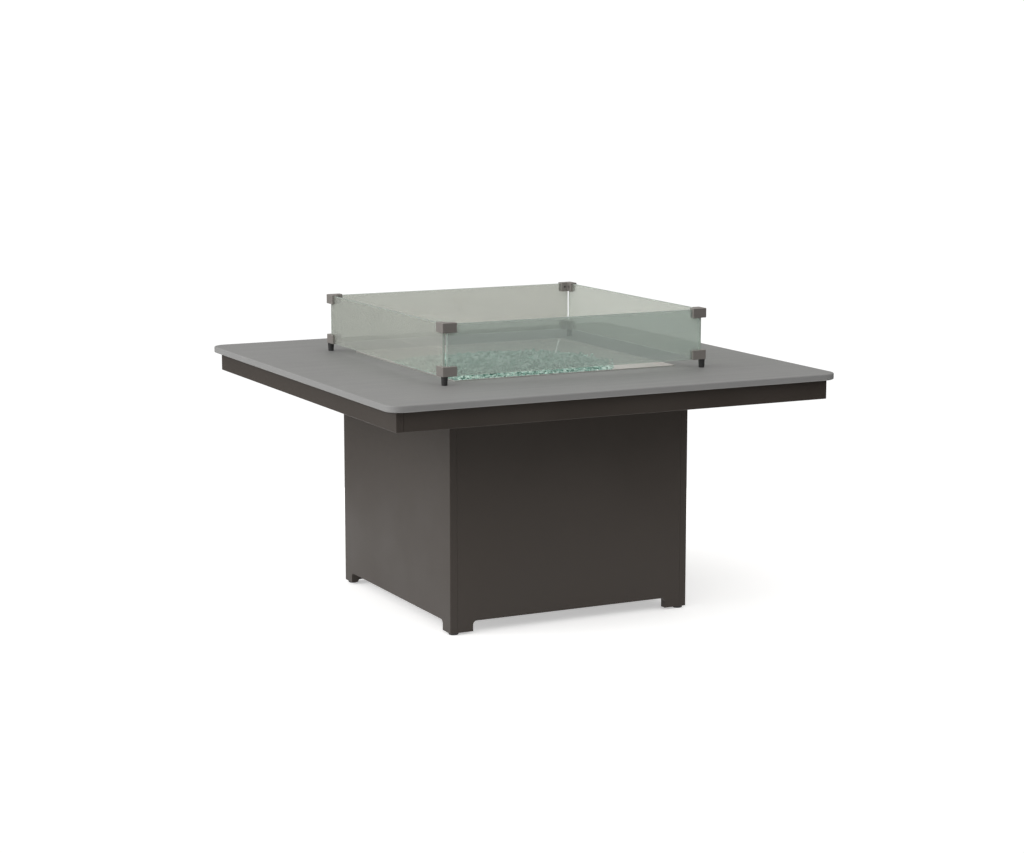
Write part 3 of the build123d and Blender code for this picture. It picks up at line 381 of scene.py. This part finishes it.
def pane_edge():
    """The ground edge of the panes: pale green and slightly frosted."""
    look = Look("guard_glass_edge", PANE_EDGE_COLOUR, roughness=0.3)
    look.give("Transmission Weight", 0.5)
    frost = look.noise(scale=1200.0, detail=2.0)
    look.shade(frost, darkest=0.92, lightest=1.08)
    look.bump(frost, strength=0.1, distance=0.1 * MM)
    let_lamps_through(look, EDGE_SHADOW)
    return look


def shard_glass():
    """Crushed aqua glass: each piece has its own depth of colour, and the palest pieces, nearly white,
    are also painted glints.
    """
    look = Look("aqua_fire_glass", SHARD_COLOUR, roughness=0.12)
    look.give("Transmission Weight", 0.45)
    look.give("IOR", GLASS_IOR)
    own = look.node("ShaderNodeNewGeometry").outputs["Random Per Island"]
    haze = look.noise(scale=240.0, detail=2.0)
    depth_and_glint = look.span(look.mix(0.2, own, haze), low=0.0, high=1.0, from_low=0.1, from_high=0.8)
    look.give("Base Color", look.mix(depth_and_glint, SHARD_DEEP, SHARD_PALE_GLINT))
    look.give("Roughness", look.span(haze, low=0.03, high=0.16))
    look.bump(haze, strength=0.15, distance=0.5 * MM)
    return look


def bed_core():
    """The rough dark green that shows between the chips."""
    look = Look("fire_glass_core", CORE_COLOUR, roughness=0.5)
    grit = look.noise(scale=120.0)
    look.shade(grit, darkest=0.5, lightest=1.4)
    look.bump(grit, strength=0.8, distance=3 * MM)
    return look


# ------------------------------------------------------------------ mesh helpers

BEVEL_STEPS = 2
LATHE_SIDES = 24
LATHE_ANGLES = [2 * math.pi * i / LATHE_SIDES for i in range(LATHE_SIDES)]
SAME_POINT = 0.001 * MM


def mesh_from(name, bm):
    mesh = bpy.data.meshes.new(name)
    bm.normal_update()
    bm.to_mesh(mesh)
    bm.free()
    return mesh


def finish_piece(name, mesh, looks, body, *replaced):
    """A mesh object that rides on a body and stands for the CAD nodes it replaces."""
    for look in looks:
        mesh.materials.append(look.material)
    made = bpy.data.objects.new(name, mesh)
    scene.collection.objects.link(made)
    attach(made, body)
    if replaced:
        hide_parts(*replaced)


def axis_vector(axis, length):
    made = Vector((0, 0, 0))
    made[axis] = length
    return made


def soft_box(bm, low, high, bevel, matrix=Matrix()):
    """A box with bevelled edges."""
    made = bmesh.ops.create_cube(bm, size=1.0)["verts"]
    low, high = Vector(low), Vector(high)
    bmesh.ops.scale(bm, vec=high - low, verts=made)
    bmesh.ops.translate(bm, vec=(low + high) / 2, verts=made)
    edges = list({e for v in made for e in v.link_edges})
    out = bmesh.ops.bevel(bm, geom=edges, offset=bevel, segments=BEVEL_STEPS, profile=0.5, affect="EDGES")
    verts = list({v for f in out["faces"] for v in f.verts} | {v for v in made if v.is_valid})
    bmesh.ops.transform(bm, matrix=matrix, verts=verts)


def hexagon_point(angle):
    """A point on a hexagon of outer radius 1, at an angle."""
    sector = math.pi / 3
    off = (angle % sector) - sector / 2
    reach = math.cos(sector / 2) / math.cos(off)
    return reach * math.cos(angle), reach * math.sin(angle)


def join_rings(bm, low, high):
    """Quads between two rings of points."""
    for i in range(LATHE_SIDES):
        j = (i + 1) % LATHE_SIDES
        bm.faces.new((low[i], low[j], high[j], high[i]))


def lathe(bm, matrix, profile):
    """Rings of (radius, height) round +Z, joined by quads. Gives back the rings."""
    rings = []
    for radius, height in profile:
        ring = [Vector((radius * math.cos(a), radius * math.sin(a), height)) for a in LATHE_ANGLES]
        rings.append([bm.verts.new(matrix @ point) for point in ring])
    for low, high in zip(rings, rings[1:]):
        join_rings(bm, low, high)
    return rings


def islands(node):
    """The separate solids of a CAD node, each as a list of points."""
    bm = bmesh.new()
    bm.from_mesh(NODES[node].data)
    bmesh.ops.remove_doubles(bm, verts=bm.verts, dist=SAME_POINT)
    left, found = set(bm.verts), []
    while left:
        stack, group = [left.pop()], []
        while stack:
            vertex = stack.pop()
            group.append(vertex.co.copy())
            for edge in vertex.link_edges:
                other = edge.other_vert(vertex)
                if other in left:
                    left.remove(other)
                    stack.append(other)
        found.append(group)
    bm.free()
    return found


# ------------------------------------------------------------------ floor

FLOOR_RADIUS = 1.6
FLOOR_SIDES = 96
FLOOR_GLOW = 0.45


def make_floor():
    """A round white floor under the object."""
    look = clouded("studio_floor", FLOOR_WHITE, roughness=0.9, scale=2.0, darkest=0.99, lightest=1.01)
    look.give("Emission Color", (1, 1, 1, 1))
    look.give("Emission Strength", FLOOR_GLOW)
    bm = bmesh.new()
    bmesh.ops.create_circle(bm, cap_ends=True, radius=FLOOR_RADIUS, segments=FLOOR_SIDES)
    mesh = mesh_from("floor", bm)
    mesh.materials.append(look.material)
    floor = bpy.data.objects.new("floor", mesh)
    scene.collection.objects.link(floor)


# ------------------------------------------------------------------ glass guard

PANE_BEVEL = 0.9 * MM
FACING = 0.99


def make_pane(side, glass, edge):
    """One pane: two polished faces and ground edges with a small bevel."""
    name = f"glass_{side}"
    low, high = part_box(name)
    size = high - low
    bm = bmesh.new()
    soft_box(bm, low, high, PANE_BEVEL)
    across = 1 if size.y < size.x else 0
    for face in bm.faces:
        face.normal_update()
        face.material_index = 0 if abs(face.normal[across]) > FACING else 1
    finish_piece(f"pane_{side}", mesh_from(name, bm), [glass, edge], "guard", name)


# ------------------------------------------------------------------ screws

# Shares of a screw's own measures.
SOCKET_SHARE = 0.5
SOCKET_BOTTOM = 0.95
HEAD_ROUNDING = 0.25
ROUNDING_IN = 0.35
ROUNDING_DOWN = 0.3
TIP_RADIUS = 0.8
TIP_LENGTH = 0.3
RIM_FROM = 0.97
SHANK_FROM = 0.2
SET_SCREW_HEAD = 0.3


def socket_screw(bm, matrix, head, head_height, shank, length):
    """A screw along +Z, its head's top at the origin, with a hexagon socket."""
    soft = HEAD_ROUNDING * head_height
    socket = SOCKET_SHARE * head
    profile = [(shank * TIP_RADIUS, -length), (shank, shank * TIP_LENGTH - length)]
    if head > shank:
        profile += [(shank, -head_height), (head, -head_height), (head, -soft)]
    else:
        profile += [(shank, -soft)]
    profile += [(head - soft * ROUNDING_IN, -soft * ROUNDING_DOWN), (head - soft, 0), (socket, 0)]
    rings = lathe(bm, matrix, profile)
    bm.faces.new(list(reversed(rings[0])))
    reach = socket * SOCKET_BOTTOM
    corners = []
    for x, y in map(hexagon_point, LATHE_ANGLES):
        corners.append(bm.verts.new(matrix @ Vector((reach * x, reach * y, -socket))))
    join_rings(bm, rings[-1], corners)
    bm.faces.new(corners)


def level_axis(low, high):
    """The level axis of a set screw: the one whose extent differs most from the height."""
    return max((0, 1), key=lambda k: abs((high[k] - low[k]) - (high.z - low.z)))


def make_screws(node, look, body, axis=None):
    """Stands a socket screw in place of each CAD screw of a node, along an axis.

    Without an axis they are set screws, which lie level with their sockets towards the middle.
    """
    bm = bmesh.new()
    for points in islands(node):
        low = Vector([min(p[k] for p in points) for k in range(3)])
        high = Vector([max(p[k] for p in points) for k in range(3)])
        middle = (low + high) / 2
        along = level_axis(low, high) if axis is None else axis
        length = high[along] - low[along]
        off = [(p - middle - axis_vector(along, p[along] - middle[along])).length for p in points]
        head = max(off)
        rim = [p[along] for p, radius in zip(points, off) if radius > head * RIM_FROM]
        if axis is None:
            way = -math.copysign(1, middle[along])
        else:
            way = 1 if sum(rim) / len(rim) > middle[along] else -1
        top = middle.copy()
        top[along] = high[along] if way > 0 else low[along]
        if axis is None:
            shank = head
            head_height = length * SET_SCREW_HEAD
        else:
            shank = min(radius for radius in off if radius > head * SHANK_FROM)
            head_height = max(abs(place - top[along]) for place in rim)
        turn = axis_vector(along, way).to_track_quat("Z", "Y").to_matrix().to_4x4()
        socket_screw(bm, Matrix.Translation(top) @ turn, head, head_height, shank, length)
    finish_piece(f"{node}_detail", mesh_from(node, bm), [look], body, node)


# ------------------------------------------------------------------ marks and fittings

POINTER_HALF = 0.9 * MM
POINTER_SUNK = 0.4 * MM
POINTER_PROUD = 0.25 * MM
POINTER_BEVEL = 0.12 * MM
# Shares of the knob's radius.
POINTER_FROM = 0.2
POINTER_TO = 0.78

MARK_COUNT = 9
MARK_HEIGHT = 0.15 * MM
MARK_LENGTH = 4.5 * MM
MARK_BEVEL = 0.06 * MM
FIRST_MARK_RADIUS = 27 * MM
FIRST_MARK_HALF = 0.25 * MM
MARK_GROWTH = 0.11 * MM

PIPE_RADIUS = 4.0 * MM
NUT_RADIUS = 9 * MM
NUT_HEIGHT = 12 * MM
NUT_INSET = 2 * MM
# Shares of the nut's outer radius.
NUT_FACE = 0.87
NUT_CHAMFER = 0.12


def make_pointer(paint):
    """The line on the face of the knob."""
    low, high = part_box("control_knob")
    centre = (low + high) / 2
    radius = (high.y - low.y) / 2
    bm = bmesh.new()
    start = (high.x - POINTER_SUNK, centre.y - POINTER_HALF, centre.z + POINTER_FROM * radius)
    end = (high.x + POINTER_PROUD, centre.y + POINTER_HALF, centre.z + POINTER_TO * radius)
    soft_box(bm, start, end, POINTER_BEVEL)
    finish_piece("knob_pointer", mesh_from("knob_pointer", bm), [paint], "knob")


def make_plate_marks(paint):
    """Marks on the plate that grow wider over the half turn of the valve."""
    low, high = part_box("control_knob")
    centre = (low + high) / 2
    plate_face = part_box("control_plate")[1].x
    bm = bmesh.new()
    for i in range(MARK_COUNT):
        half = FIRST_MARK_HALF + MARK_GROWTH * i
        swing = Matrix.Rotation(math.pi * i / (MARK_COUNT - 1), 4, "X")
        matrix = Matrix.Translation((plate_face, centre.y, centre.z)) @ swing
        start = (-MARK_HEIGHT, -half, FIRST_MARK_RADIUS)
        end = (MARK_HEIGHT, half, FIRST_MARK_RADIUS + MARK_LENGTH)
        soft_box(bm, start, end, MARK_BEVEL, matrix)
    finish_piece("plate_marks", mesh_from("plate_marks", bm), [paint], "table")


def hex_nut(bm, matrix):
    """A hexagon nut along +Z with chamfered corners and a round bore."""

    def ring(outline, z):
        return [bm.verts.new(matrix @ Vector((NUT_RADIUS * x, NUT_RADIUS * y, z))) for x, y in outline]

    disc = [(math.cos(a) * NUT_FACE, math.sin(a) * NUT_FACE) for a in LATHE_ANGLES]
    hexagon = [hexagon_point(a) for a in LATHE_ANGLES]
    chamfer = NUT_CHAMFER * NUT_RADIUS
    bore = lathe(bm, matrix, [(PIPE_RADIUS, 0), (PIPE_RADIUS, NUT_HEIGHT)])
    rings = [
        bore[0],
        ring(disc, 0),
        ring(hexagon, chamfer),
        ring(hexagon, NUT_HEIGHT - chamfer),
        ring(disc, NUT_HEIGHT),
        bore[1],
    ]
    for low, high in zip(rings, rings[1:]):
        join_rings(bm, low, high)
    bmesh.ops.recalc_face_normals(bm, faces=bm.faces)


def make_flare_nuts(look):
    """A nut at each end of the gas pipe."""
    low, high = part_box("gas_pipe")
    bm = bmesh.new()
    rise = Matrix.Translation((high.x - PIPE_RADIUS, 0, low.z + NUT_INSET))
    hex_nut(bm, rise)
    run = Matrix.Translation((low.x + NUT_INSET, 0, high.z - PIPE_RADIUS))
    hex_nut(bm, run @ Matrix.Rotation(math.pi / 2, 4, "Y"))
    finish_piece("flare_nuts", mesh_from("flare_nuts", bm), [look], "table")


# ------------------------------------------------------------------ crushed glass

SEED = 7
SHARD_SHAPES = 24
SHARD_POINTS = (7, 11)
SHARD_WIDTH = (0.6, 0.95)
SHARD_THICKNESS = (0.4, 0.75)
SHARD_TILT = 0.6
SHARD_COUNT = 5200
SHARD_RADIUS = (4.5 * MM, 9.5 * MM)
SHARD_SINK = 1.1
FLOOR_GAP = 0.2 * MM

# The mound swells and sinks a little in waves.
SWELL_HEIGHT = 2.5 * MM
SWELL_X = 61
SWELL_Y = 53
SWELL_SHIFT = 1.0
RIM_SLOPE = 0.2

STRAY_COUNT = 90
STRAY_REACH = 34 * MM
STRAY_LIFT = 0.45
STRAY_RADIUS = (SHARD_RADIUS[0] * 0.6, SHARD_RADIUS[1] * 0.7)

CORE_CELLS = 56
CORE_DEPTH = 5 * MM
CORE_GAP = 0.3 * MM

BARE_CORNER = 0.9
OVERHEAD = 1.0
ABOVE_BED = 0.1


class Bed:
    """The surface of the CAD bed of fire glass, and the floor of the pan under it."""

    def __init__(self):
        graph = bpy.context.evaluated_depsgraph_get()
        self.low, self.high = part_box("fire_glass")
        self.tree = BVHTree.FromObject(NODES["fire_glass"], graph)
        pan = BVHTree.FromObject(NODES["burner_pan"], graph)
        bare = Vector((-BARE_CORNER * self.low.x, -BARE_CORNER * self.low.y, OVERHEAD))
        self.floor = pan.ray_cast(bare, DOWN)[0].z

    def top(self, x, y):
        """The height of the bed at a place, or None beside it."""
        hit = self.tree.ray_cast(Vector((x, y, self.high.z + ABOVE_BED)), DOWN)[0]
        return hit.z if hit else None


def shard_shapes(rng):
    """A set of small convex chips, each the hull of a few points round a squashed ball."""
    shapes = []
    for _ in range(SHARD_SHAPES):
        squash = Vector((1.0, rng.uniform(*SHARD_WIDTH), rng.uniform(*SHARD_THICKNESS)))
        bm = bmesh.new()
        for _ in range(rng.randint(*SHARD_POINTS)):
            point = Vector([rng.gauss(0, 1) for _ in range(3)]).normalized()
            bm.verts.new(point * squash)
        hull = bmesh.ops.convex_hull(bm, input=bm.verts)
        loose = [v for v in hull["geom_interior"] if isinstance(v, bmesh.types.BMVert)]
        bmesh.ops.delete(bm, geom=loose, context="VERTS")
        bmesh.ops.recalc_face_normals(bm, faces=bm.faces)
        bm.verts.index_update()
        points = [v.co.copy() for v in bm.verts]
        sides = [[v.index for v in f.verts] for f in bm.faces]
        shapes.append((points, sides))
        bm.free()
    return shapes


def make_bed_piece(name, vertices, faces, look):
    mesh = bpy.data.meshes.new(name)
    mesh.from_pydata(vertices, [], faces)
    mesh.update()
    finish_piece(name, mesh, [look], "table", "fire_glass")


def make_chips(bed, look):
    """A mound of chips over the bed's surface, with a few strays on the bare pan."""
    rng = random.Random(SEED)
    shapes = shard_shapes(rng)
    low, high = bed.low, bed.high
    vertices, faces = [], []

    def add(x, y, z, radius):
        points, sides = rng.choice(shapes)
        turn = Matrix.Rotation(rng.uniform(0, 2 * math.pi), 3, "Z")
        tilt_x = Matrix.Rotation(rng.gauss(0, SHARD_TILT), 3, "X")
        tilt_y = Matrix.Rotation(rng.gauss(0, SHARD_TILT), 3, "Y")
        tilt = tilt_x @ tilt_y
        start = len(vertices)
        for point in points:
            corner = Vector((x, y, z)) + turn @ tilt @ (point * radius)
            corner.z = max(corner.z, bed.floor + FLOOR_GAP)
            vertices.append(corner)
        faces.extend([start + i for i in side] for side in sides)

    placed = 0
    while placed < SHARD_COUNT:
        x, y = rng.uniform(low.x, high.x), rng.uniform(low.y, high.y)
        top = bed.top(x, y)
        if top is None or top < bed.floor - MM:
            continue
        radius = rng.uniform(*SHARD_RADIUS)
        swell = SWELL_HEIGHT * math.sin(x * SWELL_X) * math.sin(y * SWELL_Y + SWELL_SHIFT)
        edge_gap = min(x - low.x, y - low.y)
        if edge_gap < radius:
            continue
        rise = max(bed.floor, top + swell - rng.uniform(0.0, SHARD_SINK) * radius)
        add(x, y, min(rise, bed.floor + edge_gap * RIM_SLOPE), radius)
        placed += 1
    strays = 0
    while strays < STRAY_COUNT:
        x, y = rng.uniform(low.x, high.x + STRAY_REACH), rng.uniform(low.y, high.y + STRAY_REACH)
        inside_pan = max(abs(x), abs(y)) < -low.x
        near = bed.top(x - rng.uniform(0, STRAY_REACH), y - rng.uniform(0, STRAY_REACH))
        if bed.top(x, y) is not None or near is None or not inside_pan:
            continue
        radius = rng.uniform(*STRAY_RADIUS)
        add(x, y, bed.floor + radius * STRAY_LIFT, radius)
        strays += 1
    make_bed_piece("fire_glass_chips", vertices, faces, look)


def make_core(bed, look):
    """Under the chips, the same mound a little lower, so that no gap shows the pan."""
    size = bed.high - bed.low
    points, grid, quads = [], {}, []
    for i in range(CORE_CELLS + 1):
        for j in range(CORE_CELLS + 1):
            x = bed.low.x + size.x * i / CORE_CELLS
            y = bed.low.y + size.y * j / CORE_CELLS
            top = bed.top(x, y)
            if top is not None:
                grid[i, j] = len(points)
                points.append((x, y, max(bed.floor + CORE_GAP, top - CORE_DEPTH)))
    for i in range(CORE_CELLS):
        for j in range(CORE_CELLS):
            corners = [(i, j), (i + 1, j), (i + 1, j + 1), (i, j + 1)]
            if all(c in grid for c in corners):
                quads.append([grid[c] for c in corners])
    make_bed_piece("fire_glass_core", points, quads, look)


# ------------------------------------------------------------------ build

make_camera()
make_world()
area_light("key", KEY_PLACE, KEY_SIZE, KEY_POWER)
area_light("fill", FILL_PLACE, FILL_SIZE, FILL_POWER)
make_floor()

coat = powder_coat()
stainless = brushed("stainless_steel", STAINLESS_COLOUR, 0.4, BRUSHED_ALONG_Y, metallic=0.8)
gunmetal = brushed("gunmetal", GUNMETAL_COLOUR, 0.42, BRUSHED_LEVEL, metallic=0.5)
tube = brushed("aluminium_tube", ALUMINIUM_COLOUR, 0.3, DRAWN_ALONG_X)
plated = cast_metal("plated_steel", PLATED_COLOUR, 0.35)
brass = cast_metal("brass", BRASS_COLOUR, 0.3)
electrode_steel = cast_metal("electrode_steel", ELECTRODE_COLOUR, 0.3)
black_oxide = cast_metal("black_oxide", BLACK_OXIDE, 0.4)
rubber = matte_black("black_rubber", 0.018, roughness=0.75, grain=900.0)
nylon = matte_black("black_nylon", 0.02, roughness=0.5, grain=500.0)
knob_plastic = matte_black("black_knob_plastic", 0.014, roughness=0.3, grain=700.0)
ceramic = clouded("white_ceramic", CERAMIC_WHITE, 0.25, scale=60.0, darkest=0.92, lightest=1.05)
paint = clouded("mark_paint", PAINT_WHITE, 0.5, scale=300.0, darkest=0.94, lightest=1.03)

coated = [s["node"] for s in frame["record"]["subparts"] if s["material_slot"] == "bronze_powder_coat"]
glides = [name for name in NODES if name.startswith("glide_")]
cover(polymer(), "table_top")
cover(coat, *coated)
cover(stainless, "burner_pan", "burner_ring", "control_plate", "electrode_bracket", "igniter_nut")
cover(gunmetal, "lower_clamps", "upper_clamps")
cover(plated, "top_screws", "shelf_screws", "plate_screws", "strike_plates", "locating_pegs")
cover(plated, "thrust_washer", "valve_nut", "valve_stem")
cover(electrode_steel, "electrode_rod")
cover(brass, "air_mixer", "orifice_elbow", "valve_body")
cover(tube, "gas_pipe")
cover(rubber, "guard_feet")
cover(nylon, "post_plugs", "magnet_catches", "igniter_body", *glides)
cover(knob_plastic, "control_knob", "igniter_button")
cover(ceramic, "electrode_ceramic")

edge = pane_edge()
# Each pane's tint is painted light and shade on one and the same glass.
for side, tint in PANE_SHADED_TINTS.items():
    make_pane(side, pane_glass(side, tint), edge)
make_screws("set_screws", black_oxide, "guard")
make_screws("plate_screws", plated, "table", axis=0)
make_screws("top_screws", plated, "table", axis=2)
make_screws("shelf_screws", plated, "table", axis=2)
make_pointer(paint)
make_plate_marks(knob_plastic)
make_flare_nuts(brass)
bed = Bed()
make_chips(bed, shard_glass())
make_core(bed, bed_core())

scene.view_settings.view_transform = "Standard"
